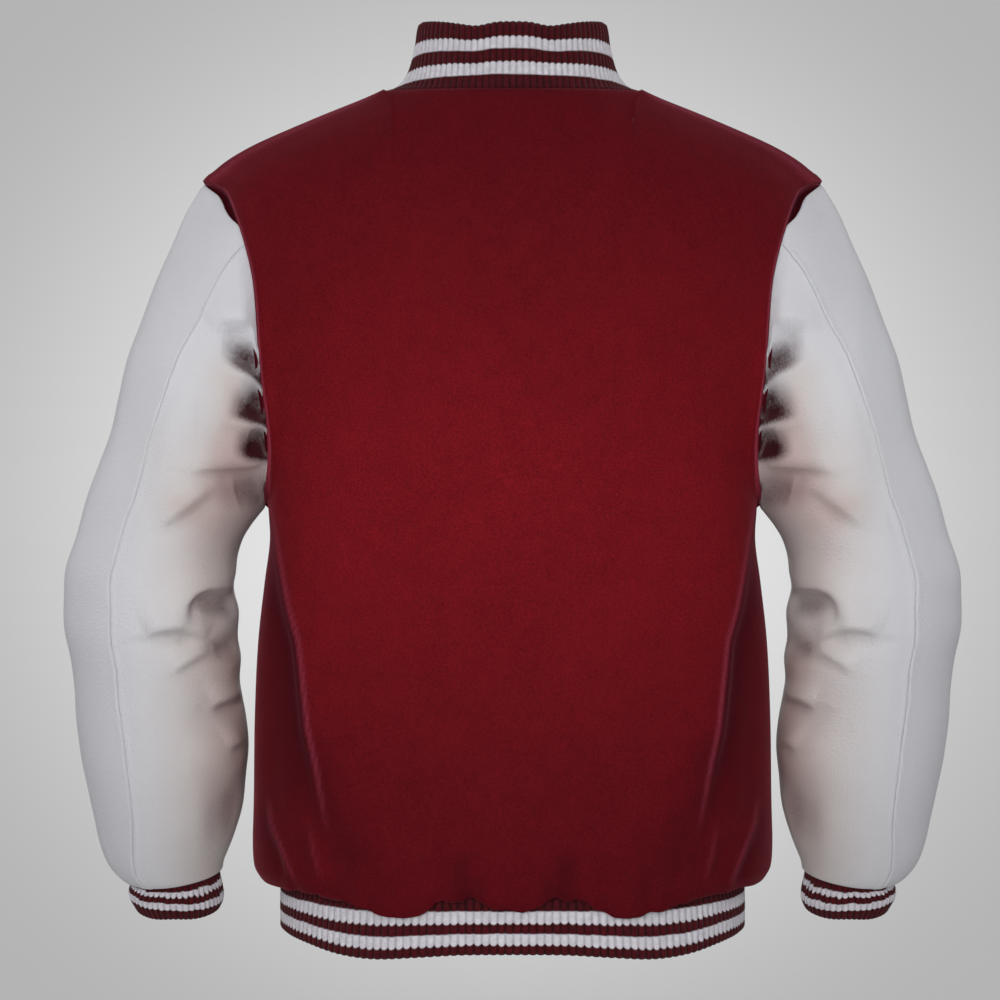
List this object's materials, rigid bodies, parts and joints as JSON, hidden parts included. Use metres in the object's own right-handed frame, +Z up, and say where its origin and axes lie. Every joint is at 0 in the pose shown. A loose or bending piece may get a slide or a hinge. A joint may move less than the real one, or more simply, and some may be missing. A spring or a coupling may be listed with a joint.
{
  "type": "varsity jacket",
  "caption": "Closed, filled-out varsity jacket with a wool body, two-panel leather sleeves and striped ribbed collar, cuffs and hem.",
  "frame": {"origin": "middle of the neck opening, at the height of the neck points, where the wearer's neck and shoulders hold the jacket", "axes": "+Z up, +Y towards the wearer's back, +X towards the wearer's left"},
  "size_m": [0.714, 0.298, 0.7185],
  "materials": {
    "wool": "matt melton wool, dark maroon",
    "leather": "soft grained leather, off-white",
    "knit": "ribbed knit, dark maroon with white stripes",
    "snap": "enamelled maroon snap caps"
  },
  "bodies": {
    "root": {"back_panel": "wool", "front_left": "wool", "front_right": "wool", "sleeve_left_top": "leather", "sleeve_left_under": "leather", "sleeve_right_top": "leather", "sleeve_right_under": "leather", "collar": "knit", "hem_band": "knit", "cuff_left": "knit", "cuff_right": "knit", "snap_1": "snap", "snap_2": "snap", "snap_3": "snap", "snap_4": "snap", "snap_5": "snap", "snap_6": "snap", "snap_7": "snap"}
  },
  "joints": []
}
